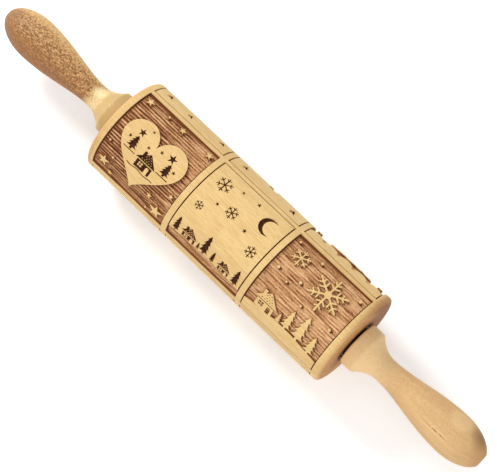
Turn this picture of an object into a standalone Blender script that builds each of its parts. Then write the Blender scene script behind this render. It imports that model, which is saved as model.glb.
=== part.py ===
# Embossed rolling pin: a beech roller with nine carved panels turns on a steel rod between two fixed handles.
# Metres, +Z up. The pin lies along X, with its origin in the middle of the rod.
from math import atan2, ceil, cos, floor, pi, radians, sin, sqrt

import bmesh
import bpy

# Roller
roller_radius = 0.030
panel_width = 0.0535
column_band = 0.0036
row_band = 0.0028
plain_margin = 0.0026
shoulder_length = 0.0024
shoulder_drop = 0.0042
relief_depth = 0.0016
line_width = 0.0007
columns = 3
rows = 3
front_row_angle = radians(21.8)

# Rod, bushes and thrust washers
rod_radius = 0.004
rod_chamfer = 0.0005
rod_grip = 0.050
bush_radius = 0.008
bush_length = 0.018
flange_radius = 0.011
flange_thickness = 0.002
washer_radius = 0.010
washer_thickness = 0.0012
washer_proud = 0.0010
middle_bore_slack = 0.0012

# Handles
handle_length = 0.091
collar_radius = 0.0135
collar_length = 0.0078
collar_chamfer = 0.0004
neck_radius = 0.0072
neck_distance = 0.0215
belly_radius = 0.0127
belly_share = 0.77
end_round_share = 1.05
cove_power = 2.2
belly_ease_shares = (0.29, 0.40)

# Fit: the gap between touching pieces, and how far a cut runs past a face
gap = 0.0003
overrun = 0.002
weld_distance = gap / 100

# Flats round each turned piece
roller_flats = 45
handle_flats = 30
small_flats = 20

# Worked out from the sizes above
flat_angle = 2 * pi / roller_flats
row_pitch = 2 * pi / rows
panel_height = roller_radius * row_pitch - row_band
field_length = columns * panel_width + (columns - 1) * column_band
roller_half = field_length / 2 + plain_margin + shoulder_length
flange_recess = washer_thickness - washer_proud + gap
handle_start = roller_half + washer_proud + gap
handle_end = handle_start + handle_length
rod_half = handle_start + rod_grip
bore_radius = rod_radius + gap
middle_bore_radius = bore_radius + middle_bore_slack

for old in list(bpy.data.objects):
    bpy.data.objects.remove(old)

parts = bpy.data.collections.new("rolling_pin")
cutters = bpy.data.collections.new("cutters")
bpy.context.scene.collection.children.link(parts)
bpy.context.scene.collection.children.link(cutters)

# Every piece is turned round this empty's Z, which lies along the world's X
pin_axis = bpy.data.objects.new("pin_axis", None)
pin_axis.rotation_euler = (0, pi / 2, 0)
parts.objects.link(pin_axis)


def material(name, colour, roughness, metallic=0.0):
    made = bpy.data.materials.new(name)
    made.use_nodes = True
    shader = made.node_tree.nodes["Principled BSDF"]
    shader.inputs["Base Color"].default_value = (*colour, 1.0)
    shader.inputs["Roughness"].default_value = roughness
    shader.inputs["Metallic"].default_value = metallic
    return made


def add_object(name, mesh, collection, surface=None):
    made = bpy.data.objects.new(name, mesh)
    made.parent = pin_axis
    collection.objects.link(made)
    if surface:
        mesh.materials.append(surface)
    else:
        made.hide_render = True
        made.display_type = "WIRE"
    return made


def turned(name, profile, flats, collection, surface=None, ring=False, flipped=False):
    """Turn (radius, height) points, given down the outer side, round the pin. A ring closes on itself."""
    mesh = bpy.data.meshes.new(name)
    count = len(profile)
    edges = [(i, (i + 1) % count) for i in range(count if ring else count - 1)]
    mesh.from_pydata([(radius, 0, height) for radius, height in profile], edges, [])
    made = add_object(name, mesh, collection, surface)
    made.rotation_euler = (pi if flipped else 0, 0, pi / flats)
    screw = made.modifiers.new("turn", "SCREW")
    screw.angle = 2 * pi
    screw.steps = flats
    screw.render_steps = flats
    screw.use_merge_vertices = True
    screw.merge_threshold = weld_distance
    screw.use_smooth_shade = True
    return made


# Outlines, as closed lists of (across, up) points round their own origin
def moved(loop, across, up, turn=0.0):
    return [(across + x * cos(turn) - y * sin(turn), up + x * sin(turn) + y * cos(turn)) for x, y in loop]


def rectangle(left, bottom, right, top):
    return [(left, bottom), (right, bottom), (right, top), (left, top)]


def arc(radius, start, end, count):
    angles = [start + (end - start) * i / (count - 1) for i in range(count)]
    return [(radius * cos(angle), radius * sin(angle)) for angle in angles]


def dot(radius, sides=6):
    return arc(radius, 0, 2 * pi * (1 - 1 / sides), sides)


def mirror_closed(right):
    """Close a right half, given from top to bottom, with its mirror image."""
    return right + [(-x, y) for x, y in reversed(right) if x > 0]


def scaled(shares, width, height):
    return [(width * across, height * up) for across, up in shares]


def star(radius, points=5, waist_share=0.40):
    loop = []
    for i in range(2 * points):
        reach = radius * (waist_share if i % 2 else 1)
        angle = pi / 2 + pi * i / points
        loop.append((reach * cos(angle), reach * sin(angle)))
    return loop


def small_flake(radius):
    return star(radius, points=6, waist_share=0.34)


# One side of a snowflake's arm as it runs out, along and across
twig_shares = ((0.42, 0.06), (0.66, 0.27), (0.76, 0.19), (0.62, 0.06), (0.93, 0.06))
hub_share = 0.15


def snowflake(radius, arms=6):
    side = scaled(twig_shares, radius, radius)
    arm = [(x, -y) for x, y in side] + [(radius, 0)] + side[::-1]
    hub = (radius * hub_share * cos(pi / arms), radius * hub_share * sin(pi / arms))
    loop = []
    for i in range(arms):
        loop += moved(arm + [hub], 0, 0, pi / 2 + 2 * pi * i / arms)
    return loop


def heart(width, count=28):
    """The usual heart curve: x = 16 sin^3 t, y = 13 cos t - 5 cos 2t - 2 cos 3t - cos 4t, 32 units wide."""
    unit = width / 32
    loop = []
    for i in range(count):
        t = 2 * pi * i / count
        up = 13 * cos(t) - 5 * cos(2 * t) - 2 * cos(3 * t) - cos(4 * t)
        loop.append((16 * unit * sin(t) ** 3, unit * up))
    return loop


bite_share = 0.85
bite_shift_share = 0.35


def crescent(radius):
    """A moon: its outer arc, then back along the circle that bites into it."""
    bite = radius * bite_share
    shift = radius * bite_shift_share
    meet_x = (radius ** 2 - bite ** 2 + shift ** 2) / (2 * shift)
    meet_y = sqrt(radius ** 2 - meet_x ** 2)
    outer = atan2(meet_y, meet_x)
    inner = atan2(meet_y, meet_x - shift)
    back = moved(arc(bite, 2 * pi - inner, inner, 9), shift, 0)
    return arc(radius, outer, 2 * pi - outer, 14) + back[1:-1]


trunk_share = 0.14
trunk_width_share = 0.20
tier_notch_share = 0.48
tier_droop_share = 0.015


def fir(width, height, tiers=3):
    """A fir from its left foot over the top to its right foot."""
    trunk = width * trunk_width_share / 2
    trunk_top = height * trunk_share
    right = [(0, height)]
    for i in range(1, tiers + 1):
        reach = width / 2 * sqrt(i / tiers)
        up = height - (height - trunk_top) * i / tiers
        right.append((reach, up))
        notch = reach * tier_notch_share if i < tiers else trunk
        right.append((notch, up + height * tier_droop_share))
    right.append((trunk, 0))
    return [(-x, y) for x, y in reversed(right[1:])] + right


# A cottage from its left foot over the chimney and the ridge to its right foot, and its door and windows
cottage_shares = (
    (-0.42, 0), (-0.42, 0.46), (-0.54, 0.445), (-0.33, 0.67), (-0.33, 0.94), (-0.19, 0.94),
    (-0.19, 0.81), (0, 1), (0.54, 0.445), (0.42, 0.46), (0.42, 0),
)
door_shares = (0.13, 0.04, 0.30, 0.36)
window_shares = (-0.28, 0.16, -0.06, 0.38)


def cottage(width, height):
    return scaled(cottage_shares, width, height)


def cottage_openings(width, height):
    for left, bottom, right, top in (door_shares, window_shares):
        yield rectangle(width * left, height * bottom, width * right, height * top)


bell_width_share = 0.9
bell_shares = (
    (0.07, 1), (0.09, 0.93), (0.24, 0.85), (0.33, 0.66), (0.37, 0.38), (0.44, 0.24), (0.52, 0.17),
    (0.52, 0.09), (0.15, 0.09), (0.09, 0),
)


def bell(height):
    return mirror_closed(scaled(bell_shares, height * bell_width_share, height))


leaf_shares = (
    (0, 1), (0.16, 0.85), (0.11, 0.74), (0.29, 0.62), (0.17, 0.49), (0.30, 0.35), (0.12, 0.24),
    (0.15, 0.12), (0.02, 0),
)


def holly_leaf(length):
    return mirror_closed(scaled(leaf_shares, length, length))


flame_shares = ((0, 1), (0.13, 0.72), (0.25, 0.42), (0.24, 0.16), (0.12, 0))


def flame(height):
    return mirror_closed(scaled(flame_shares, height, height))


cap_share = 0.22
cap_height_share = 0.25


def bauble(radius):
    """A hanging ball: a circle that is open at the top, closed by its cap."""
    cap = radius * cap_share
    top = radius * (1 + cap_height_share)
    start = pi / 2 + cap_share
    ball = arc(radius, start, start + 2 * (pi - cap_share), 16)
    return ball + [(cap, top), (-cap, top)]


def candy_cane(height, turn_share=0.30, stick_share=0.17):
    """A stick with a half-round crook at its top."""
    bend = height * turn_share
    half = height * stick_share / 2
    stem = height - bend
    outer = moved(arc(bend + half, 0, pi, 9), -bend, stem)
    inner = moved(arc(bend - half, pi, 0, 7), -bend, stem)
    return [(half, 0)] + outer + inner + [(-half, 0)]


def wreath_edge(radius, swing_share, leaves):
    """A circle with one leaf tip in every three points, standing out or, with a minus share, in."""
    loop = []
    for i in range(3 * leaves):
        reach = radius * (1 + swing_share if i % 3 == 1 else 1)
        angle = 2 * pi * i / (3 * leaves)
        loop.append((reach * cos(angle), reach * sin(angle)))
    return loop


def skyline(width, base, swell, things):
    """Points from left to right along a low hill, with the outline of each thing that stands on it."""
    half = width / 2
    points = [(-half, base)]
    for place_share, outline in things:
        foot = base + swell * cos(pi * place_share)
        points += moved(outline, width * place_share, foot)
    points.append((half, base))
    return points


def sunk_under(line, width, height):
    """A sunk ground that ends at the bottom in a skyline, which stays proud."""
    half = width / 2
    return [line + [(half, height / 2), (-half, height / 2)]]


def framed(width, height):
    """A sunk line round a proud ground."""
    x, y = width / 2, height / 2
    inner_x, inner_y = x - line_width, y - line_width
    return [rectangle(-x, -y, x, y), rectangle(-inner_x, -inner_y, inner_x, inner_y)]


def lined(line, width, height):
    """A sunk line round a proud ground that ends in a skyline, with all below it sunk."""
    half = width / 2
    inner = half - line_width
    top = height / 2 - line_width
    return [rectangle(-half, -height / 2, half, height / 2), line + [(inner, top), (-inner, top)]]


def scatter(shape, places, width, height):
    """One outline for each (across, up, size) row of shares."""
    return [moved(shape(width * size), width * across, height * up) for across, up, size in places]


# The nine panels. Each gives the loops of its sunk ground: a loop inside a loop is proud again, and so on.
# A table holds (across, up, size) shares: of the panel's width, its height and its width again. Motifs that
# stand close together go by the panel's shorter side alone, so that they keep clear of one another.
heart_share = 0.80
heart_star_shares = ((-0.38, -0.34, 0.070), (0.38, -0.37, 0.085), (-0.41, 0.41, 0.070))
heart_inner_shares = ((-0.27, 0.19, 0.060), (0.25, 0.20, 0.070))
heart_cottage_shares = (0.02, -0.20, 0.30, 0.26)
heart_fir_shares = ((-0.27, -0.07, 0.17, 0.20), (0.29, -0.05, 0.16, 0.19))


def heart_panel(width, height):
    """A proud heart on sunk ground, with a cottage and firs sunk into it."""
    size = width * heart_share
    across, up, wide, tall = (size * share for share in heart_cottage_shares)
    loops = sunk_under([(-width / 2, -height / 2), (width / 2, -height / 2)], width, height)
    loops.append(heart(size))
    loops.append(moved(cottage(wide, tall), across, up))
    loops += [moved(hole, across, up) for hole in cottage_openings(wide, tall)]
    for place in heart_fir_shares:
        across, up, wide, tall = (size * share for share in place)
        loops.append(moved(fir(wide, tall), across, up))
    loops += scatter(star, heart_inner_shares, size, size)
    return loops + scatter(star, heart_star_shares, width, height)


village_base_share = -0.37
village_swell_share = 0.03
village_fir_shares = ((-0.41, 0.11, 0.21), (-0.03, 0.13, 0.26), (0.41, 0.12, 0.22))
village_cottage_shares = ((-0.24, 0.20, 0.17), (0.25, 0.17, 0.15))
village_flake_shares = ((-0.31, 0.31, 0.090), (-0.05, 0.16, 0.070), (0.36, 0.02, 0.065), (-0.35, 0.01, 0.050))
village_moon_share = (0.31, 0.30, 0.105)


def village_panel(width, height):
    """Falling snow and a moon sunk into proud ground, over a village that is all sunk."""
    firs = [(place, fir(width * wide, width * tall)) for place, wide, tall in village_fir_shares]
    homes = [(place, cottage(width * wide, width * tall)) for place, wide, tall in village_cottage_shares]
    things = sorted(firs + homes, key=lambda thing: thing[0])
    inner = width - 2 * line_width
    swell = height * village_swell_share
    loops = lined(skyline(inner, height * village_base_share, swell, things), width, height)
    for place, wide, tall in village_cottage_shares:
        foot = height * village_base_share + swell * cos(pi * place)
        loops += [moved(hole, inner * place, foot) for hole in cottage_openings(width * wide, width * tall)]
    across, up, size = village_moon_share
    loops.append(moved(crescent(width * size), width * across, height * up))
    return loops + scatter(small_flake, village_flake_shares, width, height)


hill_base_share = -0.36
hill_swell_share = 0.05
hill_fir_shares = ((0.03, 0.13, 0.232), (0.19, 0.16, 0.303), (0.36, 0.13, 0.214))
hill_cottage_share = (-0.26, 0.26, 0.214)
hill_flake_shares = ((0.15, 0.22, 0.215),)
hill_star_shares = ((-0.30, 0.30, 0.100),)
hill_dot_shares = ((-0.12, 0.41, 0.020), (-0.13, 0.13, 0.020), (-0.40, 0.10, 0.020), (0.42, 0.39, 0.020),
                   (0.40, 0.00, 0.020))


def hill_panel(width, height):
    """Proud snowflakes on sunk ground, over a proud hill with a cottage and firs."""
    place, wide, tall = hill_cottage_share
    swell = height * hill_swell_share
    side = min(width, height)
    things = [(place, cottage(width * wide, height * tall))]
    things += [(spot, fir(width * across, height * up)) for spot, across, up in hill_fir_shares]
    loops = sunk_under(skyline(width, height * hill_base_share, swell, things), width, height)
    foot = height * hill_base_share + swell * cos(pi * place)
    loops += [moved(hole, width * place, foot) for hole in cottage_openings(width * wide, height * tall)]
    for across, up, size in hill_flake_shares:
        loops.append(moved(snowflake(side * size), width * across, height * up))
    loops += scatter(small_flake, hill_star_shares, width, height)
    return loops + scatter(dot, hill_dot_shares, width, height)


bell_place_shares = ((-0.16, -0.02, 0.36, 0.30), (0.18, -0.10, 0.32, -0.26))
bell_star_shares = ((-0.36, -0.36, 0.060), (-0.06, -0.38, 0.050), (0.37, -0.34, 0.060), (0.30, 0.36, 0.075))


def bell_panel(width, height):
    """Two bells and small stars sunk into proud ground."""
    loops = framed(width, height)
    for across, up, size, lean in bell_place_shares:
        loops.append(moved(bell(width * size), width * across, height * up, lean))
    return loops + scatter(star, bell_star_shares, width, height)


tree_share = (0.0, -0.33, 0.56, 0.78)
tree_bauble_shares = ((-0.10, 0.20, 0.030), (0.09, 0.26, 0.030), (-0.03, 0.42, 0.028), (0.05, 0.56, 0.022))
tree_star_shares = ((-0.34, -0.37, 0.055), (0.33, -0.38, 0.065), (-0.34, 0.20, 0.065), (0.33, 0.26, 0.060))


def tree_panel(width, height):
    """A tall fir hung with proud baubles, sunk into proud ground."""
    side = min(width, height)
    across, up, wide, tall = (side * share for share in tree_share)
    loops = framed(width, height)
    loops.append(moved(fir(wide, tall, 4), across, up))
    loops += [moved(dot(side * size), across + wide * x, up + tall * y) for x, y, size in tree_bauble_shares]
    return loops + scatter(star, tree_star_shares, width, height)


wreath_share = (0.0, 0.08, 0.285, 0.165)
leaf_swing_share = 0.22
drift_count = 5
drift_shares = (-0.40, 0.075)
drift_lift_share = 0.08
wreath_star_shares = ((-0.38, 0.40, 0.060), (0.38, 0.40, 0.060), (0.0, 0.08, 0.10))


def wreath_panel(width, height):
    """A proud wreath round a star on sunk ground, over a row of round snowdrifts."""
    across, up, outer, inner = wreath_share
    base, rise = drift_shares
    pitch = width / drift_count
    drifts = [(-width / 2, height * base)]
    for i in range(drift_count):
        lift = 1 + drift_lift_share * sin(pi * (i + 1 / 2) / drift_count)
        hump = scaled(arc(1, pi, 0, 7), pitch / 2, height * rise * lift)
        drifts += moved(hump[1:], pitch * (i + 1 / 2) - width / 2, height * base)
    loops = sunk_under(drifts, width, height)
    centre = (width * across, height * up)
    loops.append(moved(wreath_edge(width * outer, leaf_swing_share, 10), *centre))
    loops.append(moved(wreath_edge(width * inner, -leaf_swing_share, 8), *centre))
    return loops + scatter(star, wreath_star_shares, width, height)


medallion_share = (0.0, -0.034, 0.37)
medallion_sides = 22
bauble_shares = ((-0.15, 0.034, 0.130), (0.09, -0.146, 0.150), (0.145, 0.157, 0.090))
bauble_star_shares = ((-0.38, 0.38, 0.065), (0.38, -0.40, 0.065))
bauble_belt_shares = (0.72, 0.16)


def bauble_panel(width, height):
    """Three proud baubles, each with a sunk belt, in a round sunk field on proud ground."""
    side = min(width, height)
    long_share, thick_share = bauble_belt_shares
    loops = framed(width, height)
    across, up, size = medallion_share
    loops.append(moved(dot(side * size, medallion_sides), side * across, side * up))
    loops += scatter(bauble, bauble_shares, side, side)
    for across, up, size in bauble_shares:
        long = side * size * long_share
        thick = side * size * thick_share
        loops.append(moved(rectangle(-long, -thick, long, thick), side * across, side * up))
    return loops + scatter(star, bauble_star_shares, width, height)


window_arch_share = (0.30, -0.404, 0.022)
arch_points = 11
candle_share = (0.0, -0.24, 0.17, 0.34)
candle_flame_share = (0.0, 0.129, 0.15)
candle_leaf_shares = ((-0.10, -0.303, 0.19, 1.35), (0.10, -0.303, 0.19, -1.35))
candle_berry_shares = ((0.0, -0.303, 0.026), (-0.05, -0.359, 0.024), (0.06, -0.359, 0.024))
candle_star_shares = ((-0.39, 0.37, 0.070), (0.39, 0.37, 0.070))


def candle_panel(width, height):
    """A proud candle between holly leaves, in an arched sunk field on proud ground."""
    side = min(width, height)
    reach, bottom, spring = window_arch_share
    arch = moved(arc(side * reach, 0, pi, arch_points), 0, side * spring)
    loops = framed(width, height)
    loops.append([(-side * reach, side * bottom), (side * reach, side * bottom)] + arch)
    across, up, wide, tall = (side * share for share in candle_share)
    loops.append(moved(rectangle(-wide / 2, 0, wide / 2, tall), across, up))
    loops += scatter(flame, (candle_flame_share,), side, side)
    for across, up, size, lean in candle_leaf_shares:
        loops.append(moved(holly_leaf(side * size), side * across, side * up, lean))
    loops += scatter(dot, candle_berry_shares, side, side)
    return loops + scatter(star, candle_star_shares, width, height)


drift_base_share = -0.46
drift_swell_share = 0.03
cane_shares = ((0.10, -0.22, 0.52), (-0.10, -0.22, 0.52))
cane_flake_shares = ((0.0, -0.36, 0.070), (-0.36, -0.30, 0.060), (0.36, -0.30, 0.060), (0.0, 0.37, 0.080))


def cane_panel(width, height):
    """Two candy canes back to back and snowflakes, sunk into proud ground."""
    edge = skyline(width - 2 * line_width, height * drift_base_share, height * drift_swell_share, [])
    loops = lined(edge, width, height)
    for (across, up, size), side in zip(cane_shares, (-1, 1)):
        cane = [(side * x, y) for x, y in candy_cane(width * size)]
        loops.append(moved(cane, width * across, height * up))
    return loops + scatter(small_flake, cane_flake_shares, width, height)


panels = (
    (heart_panel, village_panel, hill_panel),
    (bauble_panel, candle_panel, cane_panel),
    (bell_panel, tree_panel, wreath_panel),
)


def flat_sheet(name, loops):
    """A flat solid with the outline of the loops, from the sunk ground up to past the roller's surface."""
    outline = bpy.data.curves.new(name, "CURVE")
    outline.dimensions = "2D"
    outline.fill_mode = "BOTH"
    outline.extrude = (relief_depth + overrun) / 2
    for loop in loops:
        spline = outline.splines.new("POLY")
        spline.points.add(len(loop) - 1)
        for point, (across, up) in zip(spline.points, loop):
            point.co = (across, up, (overrun - relief_depth) / 2, 1)
        spline.use_cyclic_u = True
    guide = bpy.data.objects.new(name, outline)
    cutters.objects.link(guide)
    bpy.context.view_layer.update()
    mesh = bpy.data.meshes.new_from_object(guide.evaluated_get(bpy.context.evaluated_depsgraph_get()))
    bpy.data.objects.remove(guide)
    sheet = bmesh.new()
    sheet.from_mesh(mesh)
    bmesh.ops.remove_doubles(sheet, verts=sheet.verts, dist=weld_distance)
    bmesh.ops.dissolve_degenerate(sheet, edges=sheet.edges, dist=weld_distance)
    return sheet, mesh


def wrap(sheet, middle_along, middle_angle):
    """Fold the sheet along the roller's flats, half a flat out of step with them, and bend it round."""
    low = floor((middle_angle - row_pitch / 2) / flat_angle)
    high = ceil((middle_angle + row_pitch / 2) / flat_angle)
    for step in range(low, high + 1):
        line = (0, roller_radius * (middle_angle - step * flat_angle), 0)
        everything = sheet.verts[:] + sheet.edges[:] + sheet.faces[:]
        bmesh.ops.bisect_plane(sheet, geom=everything, plane_co=line, plane_no=(0, 1, 0), dist=weld_distance)
    bmesh.ops.dissolve_degenerate(sheet, edges=sheet.edges, dist=weld_distance)
    for vert in sheet.verts:
        along, up, height = vert.co
        turns = (middle_angle - up / roller_radius) / flat_angle
        step = floor(turns)
        part = turns - step
        start = step * flat_angle
        end = start + flat_angle
        reach = roller_radius + height
        x = -reach * ((1 - part) * cos(start) + part * cos(end))
        y = -reach * ((1 - part) * sin(start) + part * sin(end))
        vert.co = (x, y, middle_along + along)
    bmesh.ops.triangulate(sheet, faces=sheet.faces[:])
    bmesh.ops.recalc_face_normals(sheet, faces=sheet.faces[:])


def panel_cutter(panel, row, column):
    name = f"{panel.__name__}_cutter"
    sheet, mesh = flat_sheet(name, panel(panel_width, panel_height))
    middle_along = (column - (columns - 1) / 2) * (panel_width + column_band)
    wrap(sheet, middle_along, front_row_angle + row * row_pitch)
    sheet.to_mesh(mesh)
    sheet.free()
    add_object(name, mesh, cutters)


def roller_profile():
    """Half section of the roller, with its rounded shoulders."""
    upper = [(0, roller_half)]
    for i in range(shoulder_steps + 1):
        turn = pi / 2 * i / shoulder_steps
        upper.append((roller_radius - shoulder_drop * (1 - sin(turn)),
                      roller_half - shoulder_length * (1 - cos(turn))))
    return upper + [(radius, -height) for radius, height in reversed(upper)]


def bore_profile():
    """Half section of the bore, with a seat and a counterbore for a flanged bush at each end."""
    seat_end = roller_half - flange_recess - bush_length - gap
    shelf = roller_half - flange_recess - flange_thickness - gap
    upper = [(0, roller_half + overrun), (flange_radius + gap, roller_half + overrun),
             (flange_radius + gap, shelf), (bush_radius + gap, shelf), (bush_radius + gap, seat_end),
             (middle_bore_radius, seat_end)]
    return upper + [(radius, -height) for radius, height in reversed(upper)]


def bush_profile():
    """Half section of a flanged bush, a ring round the rod."""
    top = roller_half - flange_recess
    under = top - flange_thickness
    bottom = top - bush_length
    return [(flange_radius, top), (flange_radius, under), (bush_radius, under), (bush_radius, bottom),
            (bore_radius, bottom), (bore_radius, top)]


def washer_profile():
    top = handle_start - gap
    return [(washer_radius, top), (washer_radius, top - washer_thickness),
            (bore_radius, top - washer_thickness), (bore_radius, top)]


def rod_profile():
    upper = [(0, rod_half), (rod_radius - rod_chamfer, rod_half), (rod_radius, rod_half - rod_chamfer)]
    return upper + [(radius, -height) for radius, height in reversed(upper)]


def belly_curve(neck, belly, count):
    """A cubic curve from the neck to the belly, flat at both ends, as (radius, height) points."""
    first_share, last_share = belly_ease_shares
    span = belly - neck
    points = []
    for i in range(count + 1):
        t = i / count
        along = 3 * (1 - t) ** 2 * t * first_share + 3 * (1 - t) * t ** 2 * (1 - last_share) + t ** 3
        rise = 3 * (1 - t) * t ** 2 + t ** 3
        points.append((neck_radius + (belly_radius - neck_radius) * rise, neck + span * along))
    return points


def handle_profile():
    """Half section of a handle, from its end over belly, neck and collar to the bottom of its bore."""
    belly = handle_start + handle_length * belly_share
    end_round = (handle_end - belly) * end_round_share
    neck = handle_start + neck_distance
    edge = handle_start + collar_length
    points = [(0, handle_end)]
    for i in range(end_steps):
        reach = (handle_end - belly) * (1 - (i / end_steps) ** 2)
        points.append((belly_radius * sqrt(1 - (reach / end_round) ** 2), belly + reach))
    points += reversed(belly_curve(neck, belly, belly_steps))
    for i in range(1, cove_steps + 1):
        share = i / cove_steps
        points.append((neck_radius + (collar_radius - neck_radius) * share ** cove_power,
                       neck - (neck - edge) * share))
    points += [(collar_radius, handle_start + collar_chamfer), (collar_radius - collar_chamfer, handle_start)]
    return points + [(bore_radius, handle_start), (bore_radius, rod_half + gap), (0, rod_half + gap)]


shoulder_steps = 3
end_steps = 5
belly_steps = 7
cove_steps = 4

beech = material("beech", (0.82, 0.58, 0.29), 0.55)
handle_beech = material("handle_beech", (0.74, 0.48, 0.22), 0.45)
steel = material("steel", (0.62, 0.62, 0.60), 0.30, 1.0)
nylon = material("nylon", (0.86, 0.85, 0.80), 0.40)

for row, line in enumerate(panels):
    for column, panel in enumerate(line):
        panel_cutter(panel, row, column)
turned("bore_cutter", bore_profile(), small_flats, cutters)

roller = turned("roller", roller_profile(), roller_flats, parts, beech)
carve = roller.modifiers.new("carve", "BOOLEAN")
carve.operation = "DIFFERENCE"
carve.solver = "EXACT"
carve.operand_type = "COLLECTION"
carve.collection = cutters

turned("axle_rod", rod_profile(), small_flats, parts, steel)
for side, flipped in (("right", False), ("left", True)):
    turned(f"handle_{side}", handle_profile(), handle_flats, parts, handle_beech, flipped=flipped)
    turned(f"bush_{side}", bush_profile(), small_flats, parts, nylon, ring=True, flipped=flipped)
    turned(f"thrust_washer_{side}", washer_profile(), small_flats, parts, steel, ring=True, flipped=flipped)
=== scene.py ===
# Embossed beech rolling pin: finer wood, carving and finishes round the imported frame
from math import atan2, cos, pi, radians, sin, sqrt

import bmesh
import bpy
import numpy as np
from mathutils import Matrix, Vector
from mathutils.geometry import delaunay_2d_cdt


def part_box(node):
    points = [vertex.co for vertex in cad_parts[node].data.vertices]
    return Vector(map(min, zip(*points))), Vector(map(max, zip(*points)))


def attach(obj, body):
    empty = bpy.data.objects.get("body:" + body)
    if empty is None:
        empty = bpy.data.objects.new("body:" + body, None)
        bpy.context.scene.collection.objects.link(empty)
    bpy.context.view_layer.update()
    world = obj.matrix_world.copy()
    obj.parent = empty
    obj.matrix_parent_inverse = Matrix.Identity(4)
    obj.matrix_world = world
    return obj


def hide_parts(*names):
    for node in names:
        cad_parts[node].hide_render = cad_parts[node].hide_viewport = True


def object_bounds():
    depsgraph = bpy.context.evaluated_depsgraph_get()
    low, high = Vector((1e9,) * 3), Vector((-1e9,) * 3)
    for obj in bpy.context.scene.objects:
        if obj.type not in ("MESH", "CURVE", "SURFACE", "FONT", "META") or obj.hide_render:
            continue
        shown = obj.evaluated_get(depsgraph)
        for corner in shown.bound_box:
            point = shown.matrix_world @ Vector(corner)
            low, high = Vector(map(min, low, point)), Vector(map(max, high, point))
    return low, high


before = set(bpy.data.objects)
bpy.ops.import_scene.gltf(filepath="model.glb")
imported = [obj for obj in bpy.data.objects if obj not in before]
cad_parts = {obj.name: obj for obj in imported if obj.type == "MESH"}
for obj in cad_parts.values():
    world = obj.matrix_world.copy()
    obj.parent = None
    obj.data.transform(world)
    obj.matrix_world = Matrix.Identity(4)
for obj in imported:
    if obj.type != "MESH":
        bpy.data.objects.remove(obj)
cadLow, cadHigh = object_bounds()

scene = bpy.context.scene
scene.view_settings.view_transform = "Standard"


# Materials: sums of Fields add their own Math nodes
class Field:
    def __init__(self, look, socket):
        self.look = look
        self.socket = socket

    def math(self, operation, first, second=0.0):
        return self.look.node("Math", {"operation": operation}, {0: first, 1: second})

    def __add__(self, other):
        return self.math("ADD", self, other)

    __radd__ = __add__

    def __sub__(self, other):
        return self.math("SUBTRACT", self, other)

    def __rsub__(self, other):
        return self.math("SUBTRACT", other, self)

    def __mul__(self, other):
        return self.math("MULTIPLY", self, other)

    __rmul__ = __mul__

    def __truediv__(self, other):
        return self.math("DIVIDE", self, other)

    def __abs__(self):
        return self.math("ABSOLUTE", self)


def rgb(red, green, blue):  # a colour as a picker shows it, 0 to 255
    def linear(part):
        part /= 255
        return part / 12.92 if part <= 0.04045 else ((part + 0.055) / 1.055) ** 2.4
    return (linear(red), linear(green), linear(blue), 1.0)


class Look:
    def __init__(self, name):
        self.material = bpy.data.materials.new(name)
        self.material.use_nodes = True
        self.nodes = self.material.node_tree.nodes
        self.links = self.material.node_tree.links
        self.shader = self.nodes["Principled BSDF"]
        self.place = self.node("TexCoord", output=3)  # object coordinates, in metres

    def plug(self, value, socket):
        if isinstance(value, Field):
            self.links.new(value.socket, socket)
        else:
            socket.default_value = value

    def node(self, kind, settings=None, sockets=None, output=0):
        made = self.nodes.new("ShaderNode" + kind)
        for key, value in (settings or {}).items():
            if key == "stops":
                for i, (place, colour) in enumerate(value):
                    stop = made.color_ramp.elements[i] if i < 2 else made.color_ramp.elements.new(place)
                    stop.position = place
                    stop.color = colour
            else:
                setattr(made, key, value)
        for key, value in (sockets or {}).items():
            self.plug(value, made.inputs[key])
        return Field(self, made.outputs[output])

    def vector(self, operation, first, second, output=0):
        return self.node("VectorMath", {"operation": operation}, {0: first, 1: second}, output)

    def split(self, vector):  # its X, Y and Z
        node = self.node("SeparateXYZ", None, {0: vector}).socket.node
        return [Field(self, output) for output in node.outputs]

    def gap(self, middle):  # how far the surface lies from a point
        return self.vector("DISTANCE", self.place, middle, 1)

    def mix(self, share, first, second):
        return self.node("Mix", {"data_type": "RGBA"}, {0: share, 6: first, 7: second}, 2)

    def step(self, value, low, high):  # 0 below low, 1 above high, soft between
        return self.node("MapRange", {"interpolation_type": "SMOOTHSTEP"},
                         {"Value": value, "From Min": low, "From Max": high})

    def noise(self, place, stretch, detail=2.0, rough=0.5):  # stretch: repeats in a metre of X, Y and Z
        return self.node("TexNoise", None, {"Vector": self.vector("MULTIPLY", place, stretch), "Scale": 1.0,
                                            "Detail": detail, "Roughness": rough})

    def bump(self, height, strength, distance):
        return self.node("Bump", None, {"Strength": strength, "Distance": distance, "Height": height})

    def finish(self, **sockets):
        for key, value in sockets.items():
            self.plug(value, self.shader.inputs[key.replace("_", " ")])
        return self.material


# Outlines for the carving: closed lists of (across, up) points
def moved(loop, across, up, turn=0.0):
    return [(across + x * cos(turn) - y * sin(turn), up + x * sin(turn) + y * cos(turn)) for x, y in loop]


def scaled(shares, width, height):
    return [(width * across, height * up) for across, up in shares]


def box(left, bottom, right, top):
    return [(left, bottom), (right, bottom), (right, top), (left, top)]


def arc(radius, start, end, count):
    angles = [start + (end - start) * i / (count - 1) for i in range(count)]
    return [(radius * cos(angle), radius * sin(angle)) for angle in angles]


def disc(radius, sides=20):
    return arc(radius, 0, 2 * pi * (1 - 1 / sides), sides)


def mirrorClosed(right):
    return right + [(-x, y) for x, y in reversed(right) if x > 0]


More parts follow.
